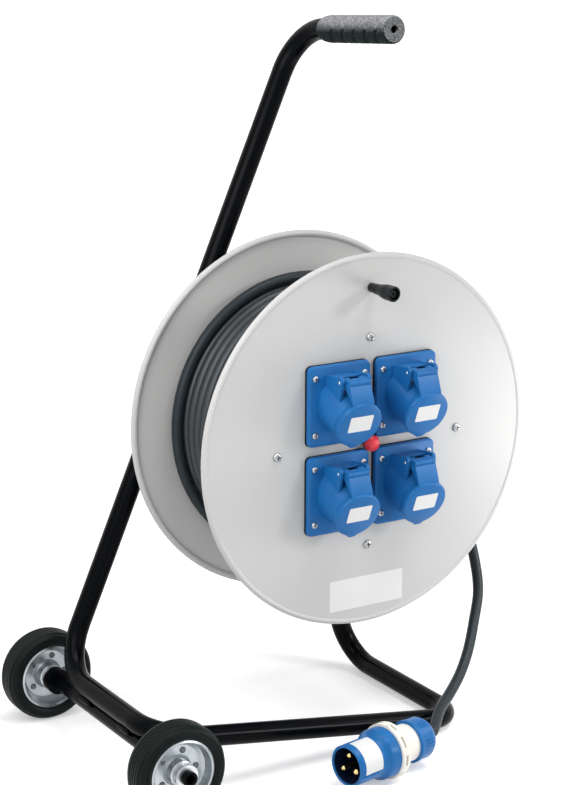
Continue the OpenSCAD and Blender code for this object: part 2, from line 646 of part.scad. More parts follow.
// Triangular hinge cheek between the plate and the barrel
module cheek(side) {
    slope_z = hinge_z - 18;
    translate([side > 0 ? cheek_in : -cheek_out, 0, 0]) rotate([90, 0, 90])
        linear_extrude(cheek_out - cheek_in) union() {
            polygon([[-gasket_t - 1, hinge_z + 7.5], [hinge_y, hinge_z + 4.6], [hinge_y - 4.4, hinge_z - 1],
                [-face_y - 12, slope_z], [-gasket_t - 1, slope_z]]);
            translate([hinge_y, hinge_z]) circle(r = 4.6, $fn = 40);
        }
}

module socket_gaskets() color("#1d2023") difference() {
    each_socket() plate_slab(-gasket_t, 0, 0.6);
    each_socket() translate([0, 0, rear_cup_z]) rod_y(rear_cup_d / 2 + 0.5, -5, 5, 64);
    each_socket() for (x = [-1, 1], z = [-1, 1])
        translate([x * screw_dx, 0, z * screw_dz]) rod_y(plate_hole_d / 2, -5, 5, 24);
}

// Contact insert: a barrel that stands on the bore's bottom, with three contact holes
contact_wall = 1.3;
function contact_bore(k) = (k == 0 ? earth_d : pin_d) / 2 + 0.1;
function contact_place(k) = [contact_r * cos(-90 + 120 * k), contact_r * sin(-90 + 120 * k), 0];
insert_face = barrel_len - insert_recess;
module contact_inserts() color("#20498c") each_socket() tilted() difference() {
    rotate_extrude($fn = 64) polygon([[0, -cup_bottom], [insert_d / 2, -cup_bottom],
        [insert_d / 2, insert_face - 1], [insert_d / 2 - 1, insert_face], [0, insert_face]]);
    for (k = [0 : 2]) translate(contact_place(k)) {
        translate([0, 0, -cup_bottom + 3]) cylinder(r = contact_bore(k) + contact_wall, h = insert_face + cup_bottom - 6, $fn = 32);
        translate([0, 0, 0]) cylinder(r = contact_bore(k), h = 60, $fn = 32);
    }
}
module socket_contacts() color("#c9a45c") each_socket() tilted()
    for (k = [0 : 2]) translate(contact_place(k)) difference() {
        translate([0, 0, -cup_bottom + 3]) cylinder(r = contact_bore(k) + contact_wall, h = insert_face + cup_bottom - 6, $fn = 32);
        translate([0, 0, -cup_bottom + 6]) cylinder(r = contact_bore(k), h = 60, $fn = 32);
    }

module plate_screws() color(steel) each_socket() for (x = [-1, 1], z = [-1, 1])
    translate([x * screw_dx, -face_y, z * screw_dz]) screw(plate_hole_d / 2 - 0.1, 3.4, 2, face_y + flange_t + 4);

module hinge_pins() color(steel) each_socket() translate([0, hinge_y, hinge_z])
    rod_x(hinge_d / 2, -cheek_out, cheek_out);

// Torsion spring round the hinge pin, one helix with a leg under the flap and one on the barrel
spring_wire = 0.9;
spring_r = hinge_d / 2 + 0.35 + spring_wire / 2;
spring_curls = 5;
spring_half = 4;
function spring_path() = concat(
    [[-spring_half, spring_r + 0.2, -7]],
    [for (i = [0 : spring_curls * 8])
        let (a = 45 * i)
        [-spring_half + 2 * spring_half * i / (spring_curls * 8), spring_r * cos(a), spring_r * sin(a)]],
    [[spring_half, spring_r + 0.2, 2]]);
module spring_tube() {
    p = spring_path();
    ts = tangents(p);
    sides = 6;
    n = len(p);
    ring = function (q, t) let (u = unit(cross(t, [1, 0, 0])), b = cross(t, u))
        [for (k = [0 : sides - 1]) q + spring_wire / 2 * (cos(60 * k) * u + sin(60 * k) * b)];
    points = [for (i = [0 : n - 1]) each ring(p[i], ts[i])];
    walls = [for (i = [0 : n - 2], k = [0 : sides - 1])
        let (a = i * sides + k, b = i * sides + (k + 1) % sides)
        each [[a, b, a + sides], [b, b + sides, a + sides]]];
    caps = [for (k = [1 : sides - 2]) each [[0, k + 1, k], [(n - 1) * sides, (n - 1) * sides + k, (n - 1) * sides + k + 1]]];
    polyhedron(points = points, faces = concat(walls, caps), convexity = 8);
}
module lid_springs() color(steel) each_socket() translate([0, hinge_y, hinge_z]) spring_tube();

// Spring lid: round cap, pull lip, flap and two hinge knuckles in one moulding
lid_back = barrel_len + fit_gap;
seal_in = 18.8;
seal_out = 23.6;
seal_t = 1.6;
knuckle_r = 4.2;
module lid(k) color(blue) at_socket(k) difference() {
    union() {
        tilted() rotate_extrude($fn = 72) polygon([[0, lid_back], [lid_d / 2 - 0.8, lid_back], [lid_d / 2, lid_back + 0.8],
            [lid_d / 2, lid_back + lid_t - 2], [lid_d / 2 - 1.6, lid_back + lid_t - 0.4], [0, lid_back + lid_t]]);
        tilted() translate([0, 0, lid_back]) linear_extrude(lid_t - 2)
            polygon([[-10, -lid_d / 2 + 3], [10, -lid_d / 2 + 3], [9, -lid_d / 2 + 1.4], [3, -lid_d / 2 - 3.4],
                [-3, -lid_d / 2 - 3.4], [-9, -lid_d / 2 + 1.4]]);
        tilted() translate([-flap_w / 2, 0, 0]) rotate([90, 0, 90]) linear_extrude(flap_w)
            polygon([[lid_d / 2 - 8, lid_back], [lid_d / 2 - 8, lid_back + lid_t - 0.4], [lid_d / 2 - 1.4, lid_back + lid_t - 0.4],
                [hinge_u + 6.2, hinge_t + 7.5], [hinge_u + 6, hinge_t + 3], [hinge_u + 3, hinge_t + 2.9],
                [hinge_u - 3.4, hinge_t + 4.5], [barrel_d / 2 + 1.3, lid_back - 1.5], [barrel_d / 2 + 0.7, lid_back]]);
        translate([0, hinge_y, hinge_z]) for (side = [-1, 1])
            rod_x(knuckle_r, side > 0 ? 6 : -flap_w / 2, side > 0 ? flap_w / 2 : -6, 40);
    }
    translate([0, hinge_y, hinge_z]) rod_x(hinge_d / 2 + 0.06, -30, 30);
    translate([0, hinge_y, hinge_z]) rod_x(spring_r + spring_wire / 2 + 0.5, -6, 6, 40);
    tilted() translate([0, 0, lid_back - 1]) difference() {
        cylinder(r = seal_out, h = seal_t + 1, $fn = 64);
        translate([0, 0, -1]) cylinder(r = seal_in, h = seal_t + 4, $fn = 64);
    }
}
module lid_seal(k) color("#1d2023") at_socket(k) tilted() difference() {
    translate([0, 0, lid_back + 0.1]) cylinder(r = seal_out, h = seal_t - 0.1, $fn = 64);
    translate([0, 0, lid_back - 1]) cylinder(r = seal_in, h = seal_t + 4, $fn = 64);
}

// ---------------------------------------------------------------- thermal cut-out and crank knob
stem_r = 2.9;
stem_gap = 0.06;
cap_front = 12.5;
module cutout_body() color("#26292c") at_drum() difference() {
    union() {
        rod_y(9, flange_t, 34, 48);
        rod_y(neck_r, -1, flange_t + 1, 48);
        rod_y(8.2, -1.2, 0, 6);
    }
    rod_y(stem_r + stem_gap, -5, 16, 32);
}

// Red domed cap on a stem that slides in the cut-out's neck
module reset_button() color("#d83a3f") at_drum() {
    r = button_d / 2;
    skirt = 1.2 + button_travel + fit_gap;
    rod_y(stem_r, -skirt - 1, 16 - button_travel - 0.5, 32);
    intersection() {
        revolve([[0, -skirt], [r, -skirt], [r, -skirt - 3.2], [r - 0.8, -skirt - 5], [r - 2.4, -skirt - 6.8],
            [r - 4.6, -skirt - 8], [r - 6.6, -skirt - 8.5], [0, -skirt - 8.6]], 64);
        rod_y(r * 1.03, -skirt - 10, -skirt + 1, 8);
    }
}

knob_seat = 36;                               // depth of the bolt head's seat, out from the flange
knob_bore = knob_bolt_d / 2 + 0.06;
module crank_knob() color(black) at_drum() translate([0, 0, knob_r])
    revolve([for (q = [[knob_bore, fit_gap], [4.6, fit_gap], [5, 1.2], [5.2, 8], [6, 18], [7.4, 25], [knob_d / 2, 29],
        [knob_d / 2, knob_len - 1], [knob_d / 2 - 1, knob_len], [knob_d / 2 - 1.8, knob_len], [knob_d / 2 - 2, knob_seat],
        [knob_bore, knob_seat]]) [q[0], -q[1]]], 64);
module crank_bolt() color(steel) at_drum() translate([0, 0, knob_r]) difference() {
    union() {
        rod_y(knob_bolt_d / 2, -knob_seat - fit_gap, flange_t + 8, 32);
        revolve([[0, -knob_seat - fit_gap], [5.4, -knob_seat - fit_gap], [5.4, -knob_seat - 2], [3.6, -knob_seat - 3.6],
            [0, -knob_seat - 3.6]], 40);
    }
    rod_y(1.7, -knob_seat - 5, -knob_seat - 2, 6);
}
module crank_nut() color(steel) at_drum() translate([0, 0, knob_r]) difference() {
    rod_y(5.8, flange_t, flange_t + 5, 6);
    rod_y(knob_bolt_d / 2, flange_t - 1, flange_t + 9, 32);
}

// ---------------------------------------------------------------- wheels
// side = -1 for the front wheel and 1 for the rear one; +y of the wheel's frame points outward
module at_wheel(side) translate([axle_x, side * wheel_y, axle_z]) children();
tube_out = 2.2;
hub_tube_r = axle_d / 2 + tube_out;

module tyre(side) {
    r = wheel_d / 2;
    half = tyre_w / 2;
    seat = seat_d / 2;
    groove = 1.1;
    tread = half - shoulder_r;
    color("#15191a") at_wheel(side) difference() {
        revolve(concat([[seat, -half + 4], [seat + 1.5, -half + 1.5]],
            [for (q = arc2d(0, 0, shoulder_r, -90, 0, 8)) [r - shoulder_r + q[0], -tread + q[1]]],
            [for (q = arc2d(0, 0, shoulder_r, 0, 90, 8)) [r - shoulder_r + q[0], tread + q[1]]],
            [[seat + 1.5, half - 1.5], [seat, half - 4]]), 96);
        for (y = [-6, -2, 2, 6]) ring_y(r - groove, r + 1, y - 0.6, y + 0.6);
    }
}

// One pressed rim half; the two halves of a wheel are riveted back to back at their webs
module rim(side, dir) {
    lip = seat_d / 2;
    t = 1.4;
    color("#c3c8cc") at_wheel(side) difference() {
        revolve([for (q = [
            [hub_tube_r, 0], [hub_tube_r + 9, 0], [lip - 8, 0], [lip - 3, 3], [lip - 1.4, 8], [lip - 1.4, 13],
            [lip, 13.8], [lip, 14.8], [lip - 1.8, 15.6], [lip - 3, 14.4], [lip - 3.2, 8.6], [lip - 5.4, 4.4],
            [lip - 9, t], [hub_tube_r + 6, t], [hub_tube_r + 3.6, 4], [hub_tube_r + 3, 12], [hub_tube_r + 1.4, 13],
            [hub_tube_r, 13]]) [q[0], dir * q[1]]], 72);
        rivet_places() rod_y(2, -5, 5, 24);
    }
}
rivet_r = 21;
module rivet_places() for (k = [0 : rivets - 1]) rotate([0, 360 / rivets * k + 18, 0]) translate([0, 0, rivet_r]) children();
module wheel_rivets(side) color(steel) at_wheel(side) rivet_places()
    revolve([[0, -3], [1.6, -3], [3.2, -2.2], [3.4, -1.4], [2, -1.4], [2, 1.4], [3.4, 1.4], [3.2, 2.2], [1.6, 3], [0, 3]], 24);
module hub_tube(side) color(steel) at_wheel(side)
    ring_y(axle_d / 2 + axle_gap, hub_tube_r, -hub_half, hub_half);

frame_tube();
hand_grip();
wheel_axle();
axle_welds();
axle_collar();
axle_washers();
axle_rings();
spindle_stop_ring();
spindle_washer();
spindle_ring();
cord_lead();
plug_shroud();
plug_pin_carrier();
plug_pins();
plug_housing();
plug_gland_nut();
plug_gland_seal();
front_flange();
rear_flange();
drum_core();
hub_bushes();
flange_screws();
cord_inner_layers();
cord_winding();
cord_grommet();
terminal_block();
terminal_screws();
socket_body(0);  // socket_body_upper_left
socket_body(1);  // socket_body_upper_right
socket_body(2);  // socket_body_lower_left
socket_body(3);  // socket_body_lower_right
socket_gaskets();
contact_inserts();
socket_contacts();
plate_screws();
hinge_pins();
lid_springs();
lid(0);  // lid_upper_left
lid(1);  // lid_upper_right
lid(2);  // lid_lower_left
lid(3);  // lid_lower_right
lid_seal(0);  // lid_seal_upper_left
lid_seal(1);  // lid_seal_upper_right
lid_seal(2);  // lid_seal_lower_left
lid_seal(3);  // lid_seal_lower_right
cutout_body();
reset_button();
crank_knob();
crank_bolt();
crank_nut();
tyre(-1);  // front_tyre
rim(-1, -1);  // front_rim_outer
rim(-1, 1);  // front_rim_inner
hub_tube(-1);  // front_hub_tube
wheel_rivets(-1);  // front_rivets
tyre(1);  // rear_tyre
rim(1, 1);  // rear_rim_outer
rim(1, -1);  // rear_rim_inner
hub_tube(1);  // rear_hub_tube
wheel_rivets(1);  // rear_rivets
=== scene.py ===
import math
import bmesh
import bpy
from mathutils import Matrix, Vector


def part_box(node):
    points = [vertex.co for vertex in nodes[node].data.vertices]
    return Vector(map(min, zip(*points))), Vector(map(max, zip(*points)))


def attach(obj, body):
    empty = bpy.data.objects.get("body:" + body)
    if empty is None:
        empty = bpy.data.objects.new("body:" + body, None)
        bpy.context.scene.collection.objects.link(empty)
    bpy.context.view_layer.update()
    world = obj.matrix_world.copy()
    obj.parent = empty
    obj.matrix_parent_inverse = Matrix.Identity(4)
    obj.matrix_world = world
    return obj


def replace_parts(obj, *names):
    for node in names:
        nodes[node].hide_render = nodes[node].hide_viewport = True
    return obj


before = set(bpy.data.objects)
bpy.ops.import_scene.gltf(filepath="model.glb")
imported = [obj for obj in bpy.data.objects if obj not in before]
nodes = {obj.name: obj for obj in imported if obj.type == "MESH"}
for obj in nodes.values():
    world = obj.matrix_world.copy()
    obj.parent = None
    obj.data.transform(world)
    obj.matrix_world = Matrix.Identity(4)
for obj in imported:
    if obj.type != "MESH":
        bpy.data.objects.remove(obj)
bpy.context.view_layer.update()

scene = bpy.context.scene

# ---------------------------------------------------------------- camera
# A long lens at chest height looks down on the reel from its left front. A small shift of the lens
# sets the reel in the middle of the frame.
camera = bpy.data.objects.new("camera", bpy.data.cameras.new("camera"))
scene.collection.objects.link(camera)
camera.location = (-1.1344, -1.8332, 0.9295)
aim = Vector((-0.0783, -0.076, 0.3268))
camera.rotation_euler = (aim - camera.location).to_track_quat("-Z", "Y").to_euler()
camera.data.sensor_fit = "VERTICAL"
camera.data.sensor_height = 36
camera.data.lens = 96.7
camera.data.shift_x = 0.0394
camera.data.shift_y = 0.0913
scene.camera = camera
scene.view_settings.view_transform = "Standard"

# ---------------------------------------------------------------- cord
# The free end of the cord: the raised last turn on the drum, the stretch that hangs off it at the
# right, and the run along the floor into the plug. Black rubber flex, 12 mm thick, with a dull skin.
CORD_R = 0.006
DRUM = Vector((0.0615, -0.076, 0.330))       # the drum's axis at the front flange's outer face


def shade(name, colour, rough, metal=0.0, blotch=0.05, blotch_size=0.03, grain=0.0006, bump=0.00004,
          rough_spread=0.08, specular=0.5):
    """A finish with soft blotches of colour and a fine grain in its height and its gloss."""
    material = bpy.data.materials.new(name)
    material.use_nodes = True
    tree = material.node_tree
    bsdf = tree.nodes["Principled BSDF"]
    place = tree.nodes.new("ShaderNodeTexCoord")
    cloud = tree.nodes.new("ShaderNodeTexNoise")
    cloud.inputs["Scale"].default_value = 1 / blotch_size
    cloud.inputs["Detail"].default_value = 4
    tree.links.new(place.outputs["Object"], cloud.inputs["Vector"])
    tint = tree.nodes.new("ShaderNodeValToRGB")
    for stop, lift, at in zip(tint.color_ramp.elements, (1 - blotch, 1 + blotch), (0.3, 0.7)):
        stop.position = at
        stop.color = [min(1, c * lift) for c in colour] + [1]
    tree.links.new(cloud.outputs["Fac"], tint.inputs["Fac"])
    tree.links.new(tint.outputs["Color"], bsdf.inputs["Base Color"])
    speck = tree.nodes.new("ShaderNodeTexNoise")
    speck.inputs["Scale"].default_value = 1 / grain
    speck.inputs["Detail"].default_value = 2
    tree.links.new(place.outputs["Object"], speck.inputs["Vector"])
    dents = tree.nodes.new("ShaderNodeBump")
    dents.inputs["Strength"].default_value = 0.6
    dents.inputs["Distance"].default_value = bump
    tree.links.new(speck.outputs["Fac"], dents.inputs["Height"])
    tree.links.new(dents.outputs["Normal"], bsdf.inputs["Normal"])
    gloss = tree.nodes.new("ShaderNodeMapRange")
    gloss.inputs["To Min"].default_value = max(0.02, rough - rough_spread)
    gloss.inputs["To Max"].default_value = min(1, rough + rough_spread)
    tree.links.new(cloud.outputs["Fac"], gloss.inputs["Value"])
    tree.links.new(gloss.outputs["Result"], bsdf.inputs["Roughness"])
    bsdf.inputs["Metallic"].default_value = metal
    bsdf.inputs["Specular IOR Level"].default_value = specular
    return material


def round_cord(name, points, material):
    """A round cord along points: one open spline with a bevel."""
    line = bpy.data.curves.new(name, "CURVE")
    line.dimensions = "3D"
    line.bevel_depth = CORD_R
    line.bevel_resolution = 4
    line.use_fill_caps = True
    strand = line.splines.new("POLY")
    strand.points.add(len(points) - 1)
    for point, where in zip(strand.points, points):
        point.co = (*where, 1)
    strand.use_smooth = True
    line.materials.append(material)
    cord = bpy.data.objects.new(name, line)
    scene.collection.objects.link(cord)
    return cord


def smooth_line(points, steps):
    """Points on a smooth curve through the given ones, without the first and the last."""
    line = []
    for a, b, c, d in zip(points, points[1:], points[2:], points[3:]):
        for i in range(steps):
            t = i / steps
            line.append(0.5 * (2 * b + (c - a) * t + (2 * a - 5 * b + 4 * c - d) * t * t
                               + (3 * b - a - 3 * c + d) * t ** 3))
    return line + [points[-2]]


cord_rubber = shade("cord_rubber", (0.020, 0.027, 0.031), 0.36, blotch=0.12, blotch_size=0.02,
                    grain=0.0009, bump=0.00005, specular=0.16)
# the raised turn lies on the winding near the rear flange, and drifts forward once it is over the top
RAISED_R, RAISED_Y, RAISED_DRIFT, RAISED_STEPS = 0.1517, 0.1395, 0.0355, 50
RAISED_START, RAISED_TOP, RAISED_LEAVE = -96, -270, -353
raised_turn = []
for step in range(RAISED_STEPS + 1):
    angle = RAISED_START + (RAISED_LEAVE - RAISED_START) * step / RAISED_STEPS
    drift = max(0, (RAISED_TOP - angle) / (RAISED_TOP - RAISED_LEAVE))
    raised_turn.append(DRUM + Vector((
        RAISED_R * math.cos(math.radians(angle)),
        RAISED_Y - RAISED_DRIFT * drift * drift,
        RAISED_R * math.sin(math.radians(angle)))))
# the hanging stretch and the run along the floor, in millimetres
hanging_route = [Vector(p) / 1000 for p in (
    (218, 19, 312), (226, 3, 258), (234, -14, 205), (239, -29, 160), (233, -47, 126), (214, -66, 98),
    (192, -86, 74), (168, -104, 56.5), (142, -121, 45), (118, -137, 38))]
PLUG_TURN = math.radians(11.7)
GLAND_END, STRAIGHT_IN = 0.117, 0.012        # where the cord enters the gland, and its last straight run
plug_nose = Vector((-0.0384, -0.192, 0.0295))
plug_along = Vector((math.cos(PLUG_TURN), math.sin(PLUG_TURN), 0))
cord_end = plug_nose + plug_along * GLAND_END
route = [raised_turn[-3], raised_turn[-1]] + hanging_route + [cord_end + plug_along * STRAIGHT_IN, cord_end]
lead_points = raised_turn[:-1] + smooth_line(route, 5) + [cord_end]
lead = round_cord("cord_lead_round", lead_points, cord_rubber)
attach(lead, "frame")
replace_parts(lead, "cord_lead")

# ---------------------------------------------------------------- winding
# The cord on the drum: the outer layer of turns, laid side by side from flange to flange, and the
# layer below it, which shows in the valleys between the turns.
TURNS, TURN_POINTS = 11, 60
OUTER_R, INNER_R = 0.140, 0.1275
INSIDE_FRONT, INSIDE_REAR, FROM_FLANGE = 0.0015, 0.1535, 0.0064
wound_rubber = shade("wound_rubber", (0.019, 0.025, 0.030), 0.40, blotch=0.10, blotch_size=0.03,
                     grain=0.0009, bump=0.00005, specular=0.45)


def wound_layer(name, radius, first_y, last_y):
    """One layer of turns round the drum, from first_y to last_y along its axis."""
    points = []
    for i in range(TURNS * TURN_POINTS + 1):
        angle = math.radians(-90 - 360 * i / TURN_POINTS)
        y = first_y + (last_y - first_y) * i / (TURNS * TURN_POINTS)
        points.append(DRUM + Vector((radius * math.cos(angle), y, radius * math.sin(angle))))
    layer = round_cord(name, points, wound_rubber)
    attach(layer, "drum")
    return layer


outer_layer = wound_layer("cord_outer_layer", OUTER_R, INSIDE_FRONT + FROM_FLANGE, INSIDE_REAR - FROM_FLANGE)
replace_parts(outer_layer, "cord_winding")
inner_layer = wound_layer("cord_inner_layer", INNER_R, INSIDE_REAR - FROM_FLANGE, INSIDE_FRONT + FROM_FLANGE)
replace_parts(inner_layer, "cord_inner_layers")

# ---------------------------------------------------------------- frame tube
# One bent steel tube, 22 mm across, with the axle welded under it. It is sprayed gloss black after
# welding, with a slight orange peel.
frame_paint = shade("frame_paint", (0.0014, 0.0018, 0.0026), 0.21, blotch=0.15, blotch_size=0.05,
                    grain=0.004, bump=0.00003, rough_spread=0.04, specular=0.045)


def finish_nodes(material, *names):
    """Gives CAD nodes their finish."""
    for name in names:
        for place in nodes[name].material_slots:
            place.material = material


finish_nodes(frame_paint, "frame_tube", "wheel_axle", "axle_collar", "spindle_stop_ring")

# ---------------------------------------------------------------- grip
# A foam sleeve pushed over the tube's end, closed but for a small vent. Its five finger grooves lie
# further forward at the sides than on top and underneath, and pale specks run all through the foam.
grip_foam = shade("grip_foam", (0.008, 0.012, 0.012), 0.85, blotch=0.8, blotch_size=0.0018, grain=0.0009,
                  bump=0.0003, specular=0.1)
# a paler foam for the free end's face, which is painted light
end_face_painted_light = shade("end_face_painted_light", (0.15, 0.155, 0.16), 0.9, blotch=0.75, blotch_size=0.0018, grain=0.0006,
                 bump=0.0003, specular=0.1)
# painted top light: the foam's upward-facing side is painted paler, in flecks, as if lit from above
foam = grip_foam.node_tree
lie = foam.nodes.new("ShaderNodeNewGeometry")
height = foam.nodes.new("ShaderNodeSeparateXYZ")
foam.links.new(lie.outputs["Normal"], height.inputs[0])
painted_top_light = foam.nodes.new("ShaderNodeMapRange")
painted_top_light.interpolation_type = "SMOOTHSTEP"
painted_top_light.inputs["From Min"].default_value = -0.25
painted_top_light.inputs["From Max"].default_value = 0.85
foam.links.new(height.outputs["Z"], painted_top_light.inputs["Value"])
flecks = foam.nodes.new("ShaderNodeMapRange")
flecks.inputs["From Min"].default_value = 0.35
flecks.inputs["From Max"].default_value = 0.65
flecks.inputs["To Min"].default_value = 0.35
foam.links.new(foam.nodes["Noise Texture"].outputs["Fac"], flecks.inputs["Value"])
painted_light_in_flecks = foam.nodes.new("ShaderNodeMath")
painted_light_in_flecks.operation = "MULTIPLY"
foam.links.new(painted_top_light.outputs["Result"], painted_light_in_flecks.inputs[0])
foam.links.new(flecks.outputs["Result"], painted_light_in_flecks.inputs[1])
# the pale colour mixed in on the upper side is a painted highlight
painted_top_light_mix = foam.nodes.new("ShaderNodeMix")
painted_top_light_mix.data_type = "RGBA"
painted_top_light_mix.inputs["B"].default_value = (0.45, 0.45, 0.48, 1)
foam.links.new(painted_light_in_flecks.outputs["Value"], painted_top_light_mix.inputs["Factor"])
foam.links.new(foam.nodes["Color Ramp"].outputs["Color"], painted_top_light_mix.inputs["A"])
foam.links.new(painted_top_light_mix.outputs["Result"], foam.nodes["Principled BSDF"].inputs["Base Color"])
GRIP_LENGTH, GRIP_R, GRIP_ON = 0.121, 0.0144, 0.053
GROOVES, GROOVE_DEPTH, GROOVE_WIDTH = (0.028, 0.0477, 0.0674, 0.0871, 0.1055), 0.0024, 0.0016
GROOVES_FROM, GROOVES_TO = 0.012, 0.113
AT_SIDES, BACK_ON_TOP, BACK_BELOW = 0.0035, 0.007, 0.009
FREE_END_Y = -0.05
grip_along = Vector((4.8, -173.5, 11)).normalized()
grip_start = Vector((0.0845, 0.1043, 0.741)) + grip_along * GRIP_ON
Z = Vector((0, 0, 1))


def formed(name, points, faces, material, body, slot, crease=35, bevel=0.0):
    """A piece from points in the reel's own frame, with its edges sharp or rounded."""
    mesh = bpy.data.meshes.new(name)
    mesh.from_pydata([tuple(p) for p in points], [], faces)
    work = bmesh.new()
    work.from_mesh(mesh)
    bmesh.ops.remove_doubles(work, verts=work.verts, dist=1e-6)
    bmesh.ops.recalc_face_normals(work, faces=work.faces)
    work.to_mesh(mesh)
    work.free()
    mesh.materials.append(material)
    mesh.shade_smooth()
    mesh.set_sharp_from_angle(angle=math.radians(crease))
    piece = bpy.data.objects.new(name, mesh)
    scene.collection.objects.link(piece)
    if bevel:
        edge = piece.modifiers.new("rounded_edges", "BEVEL")
        edge.width = bevel
        edge.segments = 3
        edge.limit_method = "ANGLE"
        edge.angle_limit = math.radians(crease)
        edge.harden_normals = True
    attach(piece, body)
    return piece


def turned(profile, sides, origin, across, along, radius_at=None, closed=True):
    """A profile of (radius, height) turned about along; radius_at may change a radius by its angle."""
    other = along.cross(across)
    points = []
    for k in range(sides):
        a = 2 * math.pi * k / sides
        way = across * math.cos(a) + other * math.sin(a)
        for r, h in profile:
            points.append(origin + way * (radius_at(a, r, h) if radius_at else r) + along * h)
    n = len(profile)
    faces = []
    for k in range(sides):
        here, there = k * n, (k + 1) % sides * n
        for i in range(n if closed else n - 1):
            j = (i + 1) % n
            if profile[i][0] or profile[j][0]:
                faces.append((here + i, there + i, there + j, here + j))
    return points, faces


def grip_radius(a, r, h):
    """The sleeve's radius at angle a from its top, with the finger grooves pressed into it."""
    if not GROOVES_FROM < h < GROOVES_TO:
        return r
    rise = math.cos(a)
    slant = AT_SIDES - BACK_ON_TOP * rise * rise if rise > 0 else AT_SIDES + BACK_BELOW * rise
    return r - sum(GROOVE_DEPTH * math.exp(-((h - slant - at) / GROOVE_WIDTH) ** 2) for at in GROOVES)


grip_outline = [(0.0116, 0), (0.0124, 0.0006), (0.0134, 0.004), (0.0142, 0.010)]
grip_outline += [(GRIP_R, 0.012 + 0.0007 * i) for i in range(152)]
grip_outline += [(0.0142, 0.1190), (0.0136, 0.1201), (0.0127, 0.1208), (0.0112, GRIP_LENGTH),
                 (0.0044, GRIP_LENGTH), (0.0038, 0.1204), (0.0038, 0.118), (0.011, 0.118), (0.011, 0.006)]
grip_up = Z - grip_along * Z.dot(grip_along)
grip = formed("hand_grip_foam", *turned(grip_outline, 72, grip_start, grip_up, grip_along, grip_radius),
              grip_foam, "frame", "grip_foam", crease=60)
# the face of the free end is painted paler: painted light on the face that looks along the grip
grip.data.materials.append(end_face_painted_light)
for face in grip.data.polygons:
    if face.normal.dot(grip_along) > 0.8 and face.center.y < FREE_END_Y:
        face.material_index = 1
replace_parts(grip, "hand_grip")

# ---------------------------------------------------------------- wheels
# Solid rubber tyres on zinc-plated pressed rims. Each rim is two dished halves riveted back to back
# round a hub tube, and the wheel is held on the axle by a washer and a spring ring.
tyre_rubber = shade("tyre_rubber", (0.0036, 0.0066, 0.0062), 0.42, blotch=0.25, blotch_size=0.012,
                    grain=0.0008, bump=0.0001, specular=0.09)
zinc = shade("zinc", (0.62, 0.64, 0.66), 0.33, metal=1.0, blotch=0.10, blotch_size=0.006, grain=0.0005,
             bump=0.00002)
rim_zinc = shade("rim_zinc", (0.42, 0.455, 0.475), 0.32, metal=1.0, blotch=0.16, blotch_size=0.010,
                 grain=0.0012, bump=0.00005, rough_spread=0.14)
rivet_steel = shade("rivet_steel", (0.13, 0.135, 0.14), 0.42, metal=1.0, blotch=0.12, blotch_size=0.003,
                    grain=0.0004)
AXLE = Vector((-0.2115, 0, 0.050))
X, BACK = Vector((1, 0, 0)), Vector((0, 1, 0))


def joined(*shells):
    """Several shells as the points and faces of one piece."""
    points, faces = [], []
    for more, sides in shells:
        faces += [tuple(i + len(points) for i in face) for face in sides]
        points += more
    return points, faces


# four short weld beads, in the valleys where the axle lies under the tube
BEAD, BEAD_R, BEAD_RINGS, RIPPLE = 0.026, 0.0034, 40, 0.00018
BEAD_ASIDE, BEAD_UP = 0.0072, 0.008
bead_outline = [(0, 0)]
for i in range(1, BEAD_RINGS):
    t = 2 * i / BEAD_RINGS - 1
    bead_outline.append((BEAD_R * (1 - t ** 4) ** 0.5 + RIPPLE * math.sin(i * 1.6), BEAD * i / BEAD_RINGS))
bead_outline.append((0, BEAD))
beads_low, beads_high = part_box("axle_welds")
beads = [turned(bead_outline, 24, AXLE + Vector((side * BEAD_ASIDE, first, BEAD_UP)), X, BACK, closed=False)
         for first in (beads_low[1], beads_high[1] - BEAD) for side in (-1, 1)]
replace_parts(formed("weld_beads", *joined(*beads), frame_paint, "frame", "frame_paint", crease=60),
            "axle_welds")
# one side of a tyre, from its inner edge over the ribbed shoulder to the tread, then the same mirrored
WHEEL_Y, TREAD_R, TREAD_GROOVE_R = 0.1482, 0.050, 0.0489
SHOULDER_R, SHOULDER_X, SHOULDER_Y, RIB_DEPTH = 0.0107, 0.0393, -0.0073, 0.0009
tyre_outline = [(0.0355, -0.0140), (0.0358, -0.0152), (0.0366, -0.0162), (0.0374, -0.0166)]
for i in range(37):
    a = math.radians(-90 + 2.5 * i)
    dip = RIB_DEPTH * max(0, math.sin(math.radians(20 * i - 60))) if 5 < i < 34 else 0
    tyre_outline.append((SHOULDER_X + (SHOULDER_R - dip) * math.cos(a),
                         SHOULDER_Y + (SHOULDER_R - dip) * math.sin(a)))
for at in (-0.006, -0.002):
    tyre_outline += [(TREAD_R, at - 0.0008), (TREAD_GROOVE_R, at - 0.0005), (TREAD_GROOVE_R, at + 0.0005),
                     (TREAD_R, at + 0.0008)]
tyre_outline += [(r, -h) for r, h in reversed(tyre_outline)]
for wheel, side in (("front", -1), ("rear", 1)):
    tyre = formed(wheel + "_tyre_ribbed",
                  *turned(tyre_outline, 128, AXLE + Vector((0, side * WHEEL_Y, 0)), X, BACK),
                  tyre_rubber, wheel + "_wheel", "tyre_rubber", crease=40)
    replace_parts(tyre, wheel + "_tyre")
    finish_nodes(rim_zinc, wheel + "_rim_outer", wheel + "_rim_inner")
    finish_nodes(zinc, wheel + "_hub_tube")
    finish_nodes(rivet_steel, wheel + "_rivets")
finish_nodes(zinc, "axle_washers", "axle_rings", "spindle_washer", "spindle_ring")

